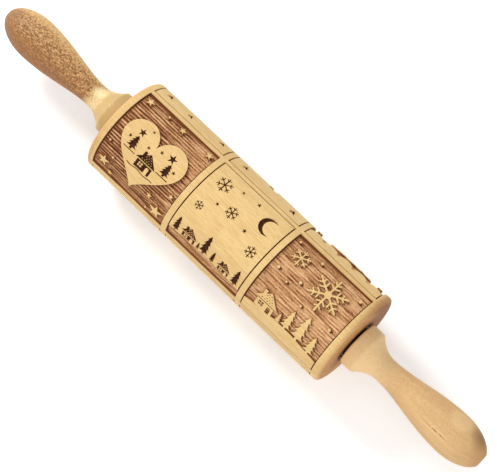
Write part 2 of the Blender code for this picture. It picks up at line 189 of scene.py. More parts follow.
def stroke(points, width):  # a line of even width through the points
    left, right = [], []
    for i, (x, y) in enumerate(points):
        ax, ay = points[max(i - 1, 0)]
        bx, by = points[min(i + 1, len(points) - 1)]
        length = sqrt((bx - ax) ** 2 + (by - ay) ** 2)
        nx, ny = -(by - ay) / length * width / 2, (bx - ax) / length * width / 2
        left.append((x + nx, y + ny))
        right.append((x - nx, y - ny))
    return right + left[::-1]


def star(radius, points=5, waist=0.38):
    loop = []
    for i in range(2 * points):
        reach = radius * (waist if i % 2 else 1)
        angle = pi / 2 + pi * i / points
        loop.append((reach * cos(angle), reach * sin(angle)))
    return loop


def flake(radius, twigs=((0.62, 0.34),), thick=0.13):  # a snowflake as several strokes
    width = radius * thick
    loops = []
    for i in range(6):
        turn = pi / 2 + pi / 3 * i
        loops.append(moved(stroke([(0, 0), (radius, 0)], width), 0, 0, turn))
        for place, reach in twigs:
            for side in (-1, 1):
                tip = (radius * (place + reach / 2), side * radius * reach * sin(pi / 3))
                loops.append(moved(stroke([(radius * place, 0), tip], width * 0.85), 0, 0, turn))
    return loops


def heart(width, count=96):  # x = 16 sin^3 t, y = 13 cos t - 5 cos 2t - 2 cos 3t - cos 4t, 32 units wide
    unit = width / 32
    loop = []
    for i in range(count):
        t = 2 * pi * i / count
        up = 13 * cos(t) - 5 * cos(2 * t) - 2 * cos(3 * t) - cos(4 * t)
        loop.append((16 * unit * sin(t) ** 3, unit * up))
    return loop


def crescent(radius):
    bite, shift = 0.85 * radius, 0.35 * radius
    meetX = (radius ** 2 - bite ** 2 + shift ** 2) / (2 * shift)
    meetY = sqrt(radius ** 2 - meetX ** 2)
    outer, inner = atan2(meetY, meetX), atan2(meetY, meetX - shift)
    back = moved(arc(bite, 2 * pi - inner, inner, 22), shift, 0)
    return arc(radius, outer, 2 * pi - outer, 34) + back[1:-1]


firShape = {"trunk": 0.10, "trunkTop": 0.14, "sag": (0.44, 0.6), "lift": (0.72, 0.012), "notch": 0.48}


def fir(width, height, tiers=4):  # from its left foot over the top to its right foot
    shape = firShape
    trunk, trunkTop = width * shape["trunk"], height * shape["trunkTop"]
    sag, drop = shape["sag"]
    fold, lift = shape["lift"]
    right = [(0, height)]
    for i in range(1, tiers + 1):
        reach = width / 2 * sqrt(i / tiers)
        up = height - (height - trunkTop) * i / tiers
        last = right[-1]
        right.append(((last[0] + reach) * sag, last[1] * (1 - drop) + up * drop))
        right.append((reach, up))
        right.append((reach * fold, up + height * lift))
        right.append((reach * shape["notch"], up) if i < tiers else (trunk, up))
    right.append((trunk, 0))
    return [(-x, y) for x, y in reversed(right[1:])] + right


cottageShape = {
    "walls": ((-0.42, 0), (-0.42, 0.43), (0.42, 0.43), (0.42, 0)),
    "roof": ((-0.55, 0.47), (-0.33, 0.69), (-0.33, 0.95), (-0.19, 0.95), (-0.19, 0.83), (0, 1), (0.55, 0.47)),
    "door": (0.13, 0.0, 0.30, 0.34), "arch": 0.07, "archDrop": 0.05,
    "window": (-0.28, 0.14, -0.06, 0.36), "bar": 0.035,
    "courses": (0.56, 0.66, 0.76, 0.86), "roofHeight": 0.53, "eaves": 0.55, "tileMargin": 0.07,
    "tilePitch": 0.13, "tile": (-0.025, -0.012, 0.025, 0.018), "chimneyGap": (-0.36, -0.15, 0.6),
}


def cottage(width, height, solid, opening):  # walls, roof, chimney, door and panes as (depth, loop) layers
    shape = cottageShape
    layers = [(solid, scaled(shape[part], width, height)) for part in ("walls", "roof")]
    left, bottom, right, top = shape["door"]
    arch = moved(scaled(arc(1, 0, pi, 9), width * (right - left) / 2, height * shape["arch"]),
                 width * (left + right) / 2, height * (top - shape["archDrop"]))
    layers.append((opening, [(width * left, height * bottom), (width * right, height * bottom)] + arch))
    left, bottom, right, top = shape["window"]
    half = shape["bar"] / 2
    middle, centre = (left + right) / 2, (bottom + top) / 2
    for a, b in ((left, middle - half), (middle + half, right)):
        for c, d in ((bottom, centre - half), (centre + half, top)):
            layers.append((opening, box(width * a, height * c, width * b, height * d)))
    left, bottom, right, top = shape["tile"]
    chimneyLeft, chimneyRight, chimneyFoot = shape["chimneyGap"]
    for i, up in enumerate(shape["courses"]):  # short dashes as roof tiles
        reach = (1 - up) / shape["roofHeight"] * shape["eaves"] - shape["tileMargin"]
        for k in range(-3, 4):
            across = k * shape["tilePitch"] + (shape["tilePitch"] / 2 if i % 2 else 0)
            if abs(across) < reach and not (chimneyLeft < across < chimneyRight and up > chimneyFoot):
                layers.append((opening, box(width * (across + left), height * (up + bottom),
                                            width * (across + right), height * (up + top))))
    return layers


def bell(height):
    shares = ((0.06, 1), (0.08, 0.94), (0.16, 0.91), (0.24, 0.84), (0.30, 0.74), (0.34, 0.60), (0.37, 0.44),
              (0.40, 0.33), (0.45, 0.24), (0.52, 0.18), (0.52, 0.11))
    return mirrorClosed(scaled(shares, height * 0.9, height))


def hollyLeaf(length):
    spikes = ((1, 0), (0.85, 0.15), (0.76, 0.12), (0.64, 0.29), (0.58, 0.20), (0.50, 0.18), (0.36, 0.30),
              (0.32, 0.18), (0.25, 0.13), (0.12, 0.15), (0, 0.02))
    return mirrorClosed([(length * across, length * up) for up, across in spikes])


def flame(height):
    shares = ((0, 1), (0.06, 0.86), (0.13, 0.70), (0.21, 0.52), (0.25, 0.36), (0.25, 0.22), (0.20, 0.10),
              (0.10, 0.01))
    return mirrorClosed(scaled(shares, height, height))


def bauble(radius):
    cap, top, gap = 0.22 * radius, 1.22 * radius, 0.22
    start = pi / 2 + gap
    return arc(radius, start, start + 2 * (pi - gap), 40) + [(cap, top), (-cap, top)]


def leafRing(radius, swing, leaves, points=9):  # leaf tips that stand out, or in with a minus swing
    loop = []
    for i in range(leaves * points):
        turn = i / points
        angle = 2 * pi * turn / leaves
        reach = radius * (1 + swing * abs(sin(pi * turn)) ** 0.7)
        loop.append((reach * cos(angle), reach * sin(angle)))
    return loop


# Roller
rollerSize = {
    "panelWidth": 0.0535, "columnBand": 0.0036, "rowBand": 0.0028, "wrapRadius": 0.030,
    "frontAngle": radians(21.8), "shoulderLength": 0.0024, "shoulderDrop": 0.0042, "lineWidth": 0.0007,
    "stepsRound": 240, "shoulderSteps": 10, "flangeBore": 0.0113, "bushBore": 0.0083, "rodBore": 0.0055,
    "flangeShelf": 0.0028, "bushSeat": 0.0188, "edge": 0.0003,
}
carve = {"top": 0.0, "line": 0.0010, "mark": 0.0012, "ground": 0.0016, "slope": 0.00008, "burnShadowReach": 0.0004,
         "burnShadowDrift": (0.0011, -0.0005), "burnShadowWay": (1.1, -0.5), "burnShadowLeast": 0.25, "snap": 1e-7}

rollerLow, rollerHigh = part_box("roller")
rollerRadius = min(rollerHigh.y, rollerHigh.z, -rollerLow.y, -rollerLow.z)
rollerHalf = rollerHigh.x
panelWidth, lineWidth = rollerSize["panelWidth"], rollerSize["lineWidth"]
panelHeight = rollerSize["wrapRadius"] * 2 * pi / 3 - rollerSize["rowBand"]
innerHalf, innerFoot = panelWidth / 2 - lineWidth, lineWidth - panelHeight / 2  # inside the frame line
columnPitch = panelWidth + rollerSize["columnBand"]
top, line, mark, ground = (carve[name] for name in ("top", "line", "mark", "ground"))


def framed(depth):  # a thin line round the panel, and what lies inside it
    x, y = panelWidth / 2, panelHeight / 2
    return [(line, box(-x, -y, x, y)), (depth, box(-innerHalf, innerFoot, innerHalf, -innerFoot))]


def hill(depth, base, swell, count=28):  # what lies below a low swelling line, within the frame
    points = [(-innerHalf, innerFoot), (innerHalf, innerFoot)]
    for i in range(count, -1, -1):
        across = panelWidth * (i / count - 0.5)
        points.append((max(-innerHalf, min(innerHalf, across)), hillTop(across, base, swell)))
    return [(depth, points)]


def hillTop(across, base, swell):
    return panelHeight * (base + swell * cos(pi * across / panelWidth))


def spread(depth, shape, places):  # rows of (across, up, size) shares of the panel
    return [(depth, moved(shape(panelWidth * size), panelWidth * across, panelHeight * up))
            for across, up, size in places]


def hillFoot(across, base, swell, sink=0.008):  # where something stands in the hill
    return hillTop(panelWidth * across, base, swell) - panelHeight * sink


def firs(depth, base, swell, places):  # on a hill: rows of (across, width, height) shares
    return [(depth, moved(fir(panelWidth * wide, panelWidth * tall), panelWidth * across,
                          hillFoot(across, base, swell))) for across, wide, tall in places]


def flakes(depth, places, **kind):
    return [(depth, moved(loop, panelWidth * across, panelHeight * up))
            for across, up, size in places for loop in flake(panelWidth * size, **kind)]


def placed(layers, across, up, turn=0.0):
    return [(depth, moved(loop, across, up, turn)) for depth, loop in layers]


def heartPanel():
    size = panelWidth * 0.8
    layers = framed(ground) + [(top, heart(size))]
    layers += placed(cottage(size * 0.3, size * 0.26, mark, top), size * 0.02, size * -0.2)
    for across, up, wide, tall in ((-0.27, -0.07, 0.17, 0.2), (0.29, -0.05, 0.16, 0.19)):
        layers.append((mark, moved(fir(size * wide, size * tall), size * across, size * up)))
    snow = [(size * (i / 12 - 0.5) * 0.44 + size * 0.02, size * (-0.222 - 0.008 * sin(i))) for i in range(13)]
    layers.append((mark, stroke(snow, size * 0.014)))
    for across, up, length in ((-0.27, -0.085, 0.2), (0.29, -0.065, 0.19)):
        half = size * length / 2
        ends = [(size * across - half, size * up), (size * across + half, size * up)]
        layers.append((mark, stroke(ends, size * 0.012)))
    stars = ((-0.27, 0.19, 0.06), (0.25, 0.2, 0.07), (-0.08, 0.1, 0.026), (0.09, 0.17, 0.03),
             (-0.37, 0.06, 0.028), (0.38, 0.08, 0.03), (-0.17, 0.29, 0.024))
    layers += [(mark, moved(star(size * reach), size * across, size * up)) for across, up, reach in stars]
    layers += spread(top, star, ((-0.38, -0.34, 0.07), (0.38, -0.37, 0.085), (-0.41, 0.41, 0.055),
                                 (0.04, 0.42, 0.045), (0.42, 0.42, 0.05), (-0.26, -0.42, 0.034),
                                 (0.24, -0.27, 0.036), (0.44, -0.12, 0.034)))
    layers += spread(top, disc, ((-0.43, -0.12, 0.012), (-0.3, -0.24, 0.012), (0.26, -0.43, 0.012),
                                 (-0.16, 0.43, 0.012)))
    return layers


def villagePanel():
    base, swell = -0.37, 0.03
    layers = framed(top) + hill(ground, base, swell)
    for across, wide, tall in ((-0.24, 0.2, 0.17), (0.25, 0.17, 0.15)):
        layers += placed(cottage(panelWidth * wide, panelWidth * tall, mark, top), panelWidth * across,
                         hillFoot(across, base, swell))
    layers += firs(mark, base, swell, ((-0.41, 0.11, 0.21), (-0.03, 0.13, 0.26), (0.41, 0.12, 0.22),
                                       (0.09, 0.08, 0.15), (-0.105, 0.05, 0.1)))
    layers.append((mark, moved(crescent(panelWidth * 0.105), panelWidth * 0.31, panelHeight * 0.3)))
    layers += flakes(mark, ((-0.31, 0.31, 0.09), (-0.05, 0.16, 0.07), (0.36, 0.02, 0.065),
                            (-0.35, 0.01, 0.05)))
    layers += spread(mark, star, ((0.08, 0.4, 0.03), (-0.12, 0.38, 0.024), (0.17, 0.12, 0.026),
                                  (-0.22, 0.13, 0.022)))
    return layers


def hillPanel():
    base, swell = -0.36, 0.05
    layers = framed(ground) + hill(top, base, swell)
    layers += placed(cottage(panelWidth * 0.26, panelWidth * 0.24, top, ground), panelWidth * -0.26,
                     hillFoot(-0.26, base, swell, 0.004))
    layers += firs(top, base, swell, ((0.03, 0.13, 0.26), (0.19, 0.16, 0.34), (0.36, 0.13, 0.24),
                                      (-0.07, 0.07, 0.13)))
    across, up, size = 0.15, 0.22, 0.215  # the large flake, with a disc as its hub
    layers += flakes(top, ((across, up, size),), twigs=((0.4, 0.3), (0.66, 0.22)), thick=0.1)
    layers.append((top, moved(disc(panelWidth * size * 0.2, 6), panelWidth * across, panelHeight * up)))
    layers += flakes(top, ((-0.3, 0.3, 0.1),), thick=0.15)
    layers += spread(top, disc, ((-0.12, 0.41, 0.018), (-0.13, 0.13, 0.018), (-0.4, 0.1, 0.018),
                                 (0.42, 0.39, 0.018), (0.4, 0.0, 0.018), (-0.43, 0.42, 0.013),
                                 (0.03, -0.02, 0.013), (-0.24, 0.05, 0.013)))
    return layers


def bellPanel():
    layers = framed(top)
    for across, up, size, lean in ((-0.16, -0.02, 0.36, 0.3), (0.18, -0.1, 0.32, -0.26)):
        tall = panelWidth * size
        parts = [(mark, bell(tall)), (mark, moved(disc(tall * 0.075), 0, tall * 0.045)),
                 (mark, moved(stroke(arc(tall * 0.075, -0.6, pi + 0.6, 12), tall * 0.035), 0, tall * 1.05)),
                 (top, box(-tall * 0.37, tall * 0.3, tall * 0.37, tall * 0.325)),
                 (top, box(-tall * 0.2, tall * 0.76, tall * 0.2, tall * 0.78))]
        layers += placed(parts, panelWidth * across, panelHeight * up, lean)
    layers += spread(mark, star, ((-0.36, -0.36, 0.06), (-0.06, -0.38, 0.05), (0.37, -0.34, 0.06),
                                  (0.3, 0.36, 0.075), (-0.4, 0.1, 0.034), (0.06, 0.3, 0.036),
                                  (0.42, 0.12, 0.03)))
    layers += flakes(mark, ((-0.38, 0.38, 0.055), (0.02, -0.24, 0.034)))
    return layers


def treePanel():
    wide, tall, foot = panelWidth * 0.56, panelWidth * 0.78, panelWidth * -0.33
    layers = framed(top)
    layers.append((mark, moved(fir(wide, tall, 5), 0, foot)))
    for x, y, size in ((-0.1, 0.2, 0.03), (0.09, 0.26, 0.03), (-0.03, 0.42, 0.028), (0.05, 0.56, 0.022),
                       (0.24, 0.19, 0.02), (-0.22, 0.22, 0.02), (-0.01, 0.7, 0.016)):
        layers.append((top, moved(disc(panelWidth * size), wide * x, foot + tall * y)))
    layers += spread(mark, star, ((-0.34, -0.37, 0.055), (0.33, -0.38, 0.065), (-0.34, 0.2, 0.065),
                                  (0.33, 0.26, 0.06), (0.0, 0.43, 0.04)))
    layers += flakes(mark, ((-0.24, 0.38, 0.045), (0.38, 0.04, 0.045), (-0.4, -0.04, 0.04)))
    return layers


def wreathPanel():
    layers = framed(ground)
    humps, leaves = 5, 14
    layers.append((top, box(-innerHalf, innerFoot, innerHalf, panelHeight * -0.4)))
    pitch = panelWidth / humps
    for i in range(humps):
        rise = panelHeight * 0.075 * (1 + 0.08 * sin(pi * (i + 0.5) / humps))
        hump = scaled(arc(1, 0, pi, 18), pitch / 2 - lineWidth, rise)
        layers.append((top, moved(hump, pitch * (i + 0.5) - panelWidth / 2, panelHeight * -0.405)))
    centre = (0, panelHeight * 0.08)
    layers.append((top, moved(leafRing(panelWidth * 0.285, 0.2, leaves), *centre)))
    layers.append((ground, moved(leafRing(panelWidth * 0.165, -0.2, 11), *centre)))
    vein = stroke([(panelWidth * 0.245, 0), (panelWidth * 0.315, 0)], panelWidth * 0.008)
    berryReach = panelWidth * 0.215
    for i in range(leaves):  # a vein in each leaf, and berries between
        turn = 2 * pi * (i + 0.5) / leaves
        layers.append((mark, moved(vein, *centre, turn)))
        if i % 2:
            layers.append((mark, moved(disc(panelWidth * 0.013), centre[0] + berryReach * cos(turn),
                                       centre[1] + berryReach * sin(turn))))
    layers += spread(top, star, ((-0.38, 0.4, 0.06), (0.38, 0.4, 0.06), (0.0, 0.08, 0.1),
                                 (-0.42, -0.2, 0.034), (0.42, -0.22, 0.034)))
    return layers


def ringed(loop, reach=0.0019):  # a sunk field with a thin line round it
    return [(line, grown(loop, reach)), (top, grown(loop, reach - lineWidth)), (ground, loop)]


def baublePanel():
    middle, reach = panelHeight * -0.03, panelWidth * 0.37
    layers = framed(top) + ringed(moved(disc(reach, 72), 0, middle))
    for across, up, size in ((-0.15, 0.03, 0.13), (0.09, -0.13, 0.15), (0.145, 0.14, 0.09)):
        radius, x, y = panelWidth * size, panelWidth * across, panelHeight * up
        rim = middle + sqrt(reach ** 2 - x ** 2) - y
        loop = moved(stroke(arc(radius * 0.14, -0.5, pi + 0.5, 12), radius * 0.07), 0, radius * 1.3)
        thread = stroke([(0, radius * 1.42), (0, rim)], radius * 0.05)
        parts = [(top, bauble(radius)), (top, loop), (top, thread)]
        parts += [(mark, box(-radius * 0.97, radius * low, radius * 0.97, radius * (low + 0.07)))
                  for low in (-0.26, 0.2)]
        parts += [(mark, moved(star(radius * 0.15), radius * 0.42 * k, 0)) for k in (-1, 0, 1)]
        layers += placed(parts, x, y)
    layers += spread(top, star, ((-0.22, -0.22, 0.045), (-0.06, 0.22, 0.034), (0.28, -0.05, 0.03),
                                 (-0.07, -0.31, 0.026)))
    layers += spread(top, disc, ((-0.28, -0.1, 0.012), (0.24, -0.24, 0.012), (0.03, 0.05, 0.012),
                                 (-0.2, 0.2, 0.012)))
    layers += spread(mark, star, ((-0.38, 0.38, 0.065), (0.38, -0.4, 0.065), (0.4, 0.4, 0.04),
                                  (-0.4, -0.41, 0.04)))
    layers += flakes(mark, ((0.0, 0.42, 0.04), (-0.42, 0.3, 0.026), (0.43, -0.3, 0.026)))
    return layers


def candlePanel():
    wide, tall, foot, reach = panelWidth * 0.17, panelWidth * 0.34, panelWidth * -0.24, panelWidth * 0.3
    arch = moved(arc(reach, 0, pi, 40), 0, panelHeight * 0.02)
    layers = framed(top) + ringed([(-reach, panelHeight * -0.36), (reach, panelHeight * -0.36)] + arch)
    layers.append((top, moved(box(-wide / 2, 0, wide / 2, tall), 0, foot)))
    for x, length in ((-0.32, 0.12), (-0.06, 0.18), (0.24, 0.1)):
        drip = stroke([(wide * x, tall), (wide * x, tall * (1 - length))], wide * 0.07)
        layers.append((mark, moved(drip, 0, foot)))
    layers += spread(top, flame, ((0.0, 0.115, 0.15),)) + spread(mark, flame, ((0.0, 0.122, 0.065),))
    ray = stroke([(panelWidth * 0.11, 0), (panelWidth * 0.14, 0)], panelWidth * 0.01)
    rays = 9
    layers += [(top, moved(ray, 0, panelHeight * 0.155, pi * (i + 0.5) / rays)) for i in range(rays)]
    length = panelWidth * 0.19
    leaf = [(top, hollyLeaf(length)), (mark, stroke([(0, length * 0.08), (0, length * 0.86)], length * 0.04))]
    for side in (-1, 1):
        layers += placed(leaf, panelWidth * 0.1 * side, panelHeight * -0.27, -1.35 * side)
    layers += spread(top, disc, ((0.0, -0.27, 0.026), (-0.05, -0.32, 0.024), (0.06, -0.32, 0.024)))
    layers += spread(top, star, ((-0.2, -0.04, 0.032), (0.2, -0.02, 0.028)))
    layers += spread(mark, star, ((-0.39, 0.37, 0.07), (0.39, 0.37, 0.07), (-0.4, -0.1, 0.04),
                                  (0.4, -0.1, 0.04)))
    layers += flakes(mark, ((-0.4, -0.38, 0.05), (0.4, -0.38, 0.05), (0.0, 0.41, 0.036),
                            (-0.4, 0.13, 0.026), (0.4, 0.13, 0.026)))
    return layers


def canePanel():
    layers = framed(top) + hill(ground, -0.46, 0.03)
    height = panelWidth * 0.52
    bend, half = height * 0.3, height * 0.085
    stem = height - bend
    inner, outer = bend - half * 0.6, bend + half * 0.6
    stripes = []
    for k in range(5):  # slanted stripes up the stick, then round the crook
        low = stem * (0.06 + 0.19 * k)
        stripes.append([(-half * 0.6, low), (half * 0.6, low + half * 0.7), (half * 0.6, low + half * 1.2),
                        (-half * 0.6, low + half * 0.5)])
    for k in range(4):
        start = 0.45 + 0.62 * k
        stripe = [(radius * cos(start + turn), radius * sin(start + turn))
                  for radius, turn in ((inner, 0), (outer, 0.08), (outer, 0.24), (inner, 0.2))]
        stripes.append(moved(stripe, -bend, stem))
    crook = moved(arc(bend + half, 0, pi, 24) + arc(bend - half, pi, 0, 18), -bend, stem)
    parts = [(mark, [(half, 0)] + crook + [(-half, 0)])] + [(top, stripe) for stripe in stripes]
    for side in (-1, 1):
        cane = [(depth, [(side * x, y) for x, y in loop]) for depth, loop in parts]
        layers += placed(cane, panelWidth * -0.1 * side, panelHeight * -0.22)
    layers += flakes(mark, ((0.0, -0.36, 0.07), (-0.36, -0.3, 0.06), (0.36, -0.3, 0.06),
                            (0.0, 0.37, 0.08)))
    layers += spread(mark, star, ((-0.38, 0.4, 0.04), (0.38, 0.4, 0.04), (-0.42, 0.02, 0.03),
                                  (0.42, 0.02, 0.03), (0.0, 0.12, 0.034)))
    return layers


panels = (
    (heartPanel, villagePanel, hillPanel),
    (baublePanel, candlePanel, canePanel),
    (bellPanel, treePanel, wreathPanel),
)


def outward(loop):  # the points of the loop, and the way out of it at each
    points = np.array(loop)
    after = np.roll(points, -1, axis=0)
    if np.sum(points[:, 0] * after[:, 1] - after[:, 0] * points[:, 1]) < 0:
        points = points[::-1]
        after = np.roll(points, -1, axis=0)
    along = after - points
    along /= np.maximum(np.linalg.norm(along, axis=1, keepdims=True), 1e-9)
    normal = np.stack([along[:, 1], -along[:, 0]], axis=1)
    before = np.roll(normal, 1, axis=0)
    corner = np.maximum(1 + np.sum(normal * before, axis=1, keepdims=True), 0.3)
    return points, (normal + before) / corner


def grown(loop, distance):  # the loop moved outwards, or inwards with a minus distance
    points, way = outward(loop)
    return points + distance * way


def inside(points, loop):
    across, up = points.T
    hit = np.zeros(len(points), bool)
    x0, y0 = loop[-1]
    for x1, y1 in loop:
        if y0 != y1:
            hit ^= ((y1 > up) != (y0 > up)) & (across < x1 + (x0 - x1) * (up - y1) / (y0 - y1))
        x0, y0 = x1, y1
    return hit


def carvedCell(mesh, burnShadowLayer, layers, middleAlong, middleAngle, left, right):
    steps, splits = rollerSize["stepsRound"] // 3, 10
    half = rollerSize["wrapRadius"] * pi / 3
    rises = [half * (2 * i / steps - 1) for i in range(steps + 1)]
    spans = [left + (right - left) * i / splits for i in range(splits + 1)]
    points, edges, burnShadows = [], [], {}
    for rise in rises:
        points += [(left, rise), (right, rise)]
        edges.append((len(points) - 2, len(points) - 1))
    for i in range(steps):
        edges += [(2 * i, 2 * i + 2), (2 * i + 1, 2 * i + 3)]
    for rise in (-half, half):
        points += [(span, rise) for span in spans[1:-1]]
    for depth, loop in layers:
        around, way = outward(loop)
        rings = [around - carve["slope"] * way, around + carve["slope"] * way]
        groundSide = {top: 1, ground: -1}.get(depth, 0)  # which ring lies at the foot of the wall
        if groundSide:
            rings.append(around + groundSide * carve["burnShadowReach"] * way + carve["burnShadowDrift"])
        for place, ring in enumerate(rings):
            first = len(points)
            points += [tuple(point) for point in ring]
            edges += [(first + i, first + (i + 1) % len(ring)) for i in range(len(ring))]
            if groundSide and place == (1 + groundSide) // 2:  # the cutter burns on past an edge, and painted shadow falls there too
                burnShadow = groundSide * (way @ np.array(carve["burnShadowWay"])) + carve["burnShadowLeast"]
                burnShadows.update((first + i, share) for i, share in enumerate(np.clip(burnShadow, 0, 1)))
    flat = [Vector(point) for point in points]
    verts, _, faces, came, *_ = delaunay_2d_cdt(flat, edges, [], 0, carve["snap"], True)
    verts = np.array([tuple(vert) for vert in verts])
    depths = np.zeros(len(verts))
    for depth, loop in layers:
        depths[inside(verts, loop)] = depth
    made = []
    for (across, up), depth, sources in zip(verts, depths, came):
        angle = middleAngle - up / rollerSize["wrapRadius"]
        reach = rollerRadius - depth
        vert = mesh.verts.new((middleAlong + across, -reach * sin(angle), reach * cos(angle)))
        vert[burnShadowLayer] = max((burnShadows.get(source, 0.0) for source in sources), default=0.0)
        made.append(vert)
    for face in faces:
        mesh.faces.new([made[i] for i in face])


def turned(mesh, profile, steps, start=0.0):  # (along, radius) points spun round X
    rings = []
    for along, radius in profile:
        if radius == 0:
            rings.append([mesh.verts.new((along, 0, 0))] * steps)
        else:
            angles = [start + 2 * pi * i / steps for i in range(steps)]
            rings.append([mesh.verts.new((along, -radius * sin(angle), radius * cos(angle)))
                          for angle in angles])
    for a, b in zip(rings, rings[1:]):
        for i in range(steps):
            corners = [a[i], a[(i + 1) % steps], b[(i + 1) % steps], b[i]]
            corners = [vert for k, vert in enumerate(corners) if vert not in corners[:k]]
            mesh.faces.new(corners)


def closeMesh(name, mesh, look, sharp=0.5, weld=1e-6):
    bmesh.ops.remove_doubles(mesh, verts=mesh.verts, dist=weld)
    bmesh.ops.recalc_face_normals(mesh, faces=mesh.faces)
    for face in mesh.faces:
        face.smooth = True
    for edge in mesh.edges:
        edge.smooth = edge.calc_face_angle(0.0) < sharp
    data = bpy.data.meshes.new(name)
    mesh.to_mesh(data)
    mesh.free()
    data.materials.append(look)
    made = bpy.data.objects.new(name, data)
    scene.collection.objects.link(made)
    return made


def rollerEnd(side):  # shoulder, end face and the stepped bore to the middle, on one side
    size = rollerSize
    edge = size["edge"]
    half = rollerHalf
    points = []
    for i in range(size["shoulderSteps"] + 1):
        turn = pi / 2 * (1 - i / size["shoulderSteps"])
        points.append((half - size["shoulderLength"] * (1 - cos(turn)),
                       rollerRadius - size["shoulderDrop"] * (1 - sin(turn))))
    flange, bush, rod = size["flangeBore"], size["bushBore"], size["rodBore"]
    shelf, seat = half - size["flangeShelf"], half - size["bushSeat"]
    points += [(half, flange + edge), (half - edge, flange), (shelf, flange), (shelf, bush), (seat, bush),
               (seat, rod), (0, rod)]
    return [(side * along, radius) for along, radius in points]


rollerLook = {
    "top": rgb(237, 203, 141), "topDark": rgb(222, 184, 123), "fleck": rgb(212, 170, 110),
    "ground": ((0.37, rgb(90, 44, 16)), (0.43, rgb(148, 94, 56)), (0.50, rgb(196, 145, 99)),
               (0.57, rgb(226, 178, 130)), (0.65, rgb(246, 210, 162))),
    "wall": rgb(142, 84, 42), "mark": rgb(66, 32, 12), "markPale": rgb(122, 74, 38), "burnAndShade": rgb(76, 36, 12),
    "endPale": rgb(222, 170, 108), "endDark": rgb(194, 137, 80), "endShade": rgb(138, 78, 26),
    "rim": rgb(178, 122, 72), "passes": 96, "ringMiddle": (0, 0.021, 0.012), "ringScale": 95.0,
    "grain": {  # repeats in a metre of X, Y and Z, detail, roughness
        "fine": ((110, 2100, 2100), 3.0, 0.6), "streak": ((60, 640, 640), 2.0, 0.7),
        "broad": ((9, 70, 70), 2.0, 0.5), "fleck": ((330, 2300, 2300), 1.0, 0.4),
        "grit": ((1000, 1500, 1500), 1.0, 0.5), "pores": ((500, 900, 900), 2.0, 0.6),
    },
    "fades": {  # where a tone comes in (metres, millimetres of depth or a share), and how much of it
        "left": (-0.062, -0.03), "leftFront": (-0.008, 0.016), "bottom": (0.018, 0.029),
        "heart": (0.02, 0.03), "heartFront": (-0.01, 0.01), "right": (0.028, 0.052),
        "rightFront": (0.002, 0.018), "shoulder": (0.0865, 0.0868), "tan": (0.0845, 0.0882, 0.35),
        "rim": (0.0835, 0.0868), "rimRight": (-0.016, 0.03, 0.75), "rimLeft": (0.004, 0.03, 0.45),
        "endRim": (0.0268, 0.0299), "boreShade": (0.012, 0.024), "endFar": (0.006, 0.024),
        "collar": (0.0134, 0.0147), "below": (0.15, 0.7), "mark": (0.78, 0.92), "wall": (1.28, 1.4),
        "ground": (1.4, 1.52), "facing": (0.35, 0.75), "burnAndShade": (0.04, 0.42, 0.95), "topDark": (0.42, 0.6),
        "fleck": (0.58, 0.7, 0.55), "markPale": (0.45, 0.75, 0.5), "endGrain": (0.28, 0.68),
    },
}


